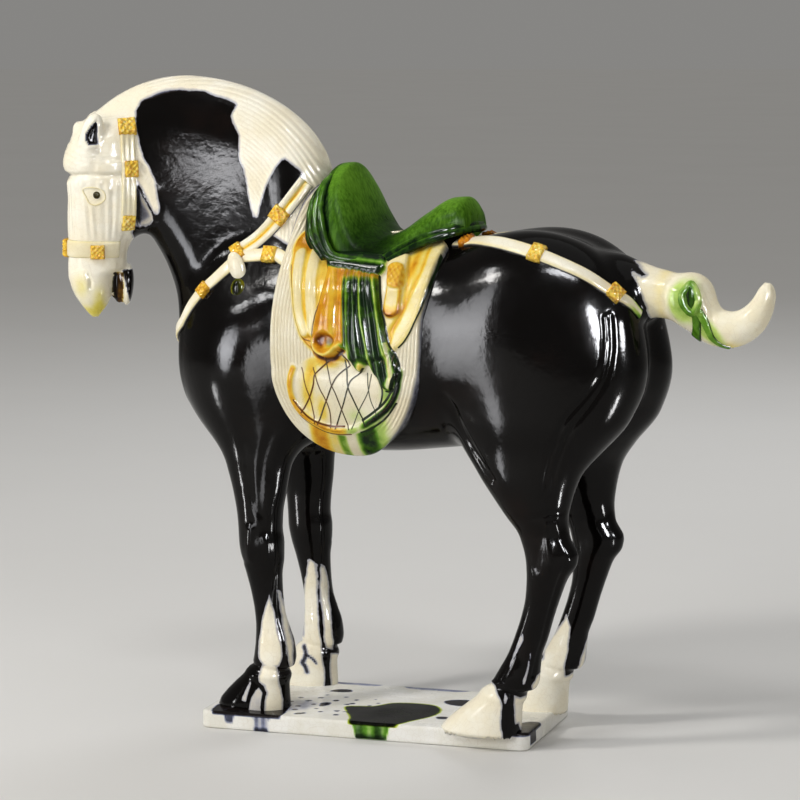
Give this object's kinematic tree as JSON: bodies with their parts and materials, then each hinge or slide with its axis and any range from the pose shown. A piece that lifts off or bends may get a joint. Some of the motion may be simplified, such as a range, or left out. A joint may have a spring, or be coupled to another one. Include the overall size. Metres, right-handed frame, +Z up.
{
  "type": "tomb horse statuette",
  "caption": "Standing saddled horse of glazed earthenware with turned head, arched neck and upturned tail, on a slab plinth; tomb figure shown as an ornament.",
  "frame": {"origin": "middle of the slab plinth's underside", "axes": "+Z up; +X along the plinth's length, the horse facing -X; +Y to the horse's right"},
  "size_m": [0.4162, 0.1219, 0.366],
  "materials": {
    "glazed_body": "lead glazes over white clay, high gloss: near-black body, ivory, amber and green trappings"
  },
  "bodies": {
    "root": {"tomb_horse": "glazed_body"}
  },
  "joints": []
}
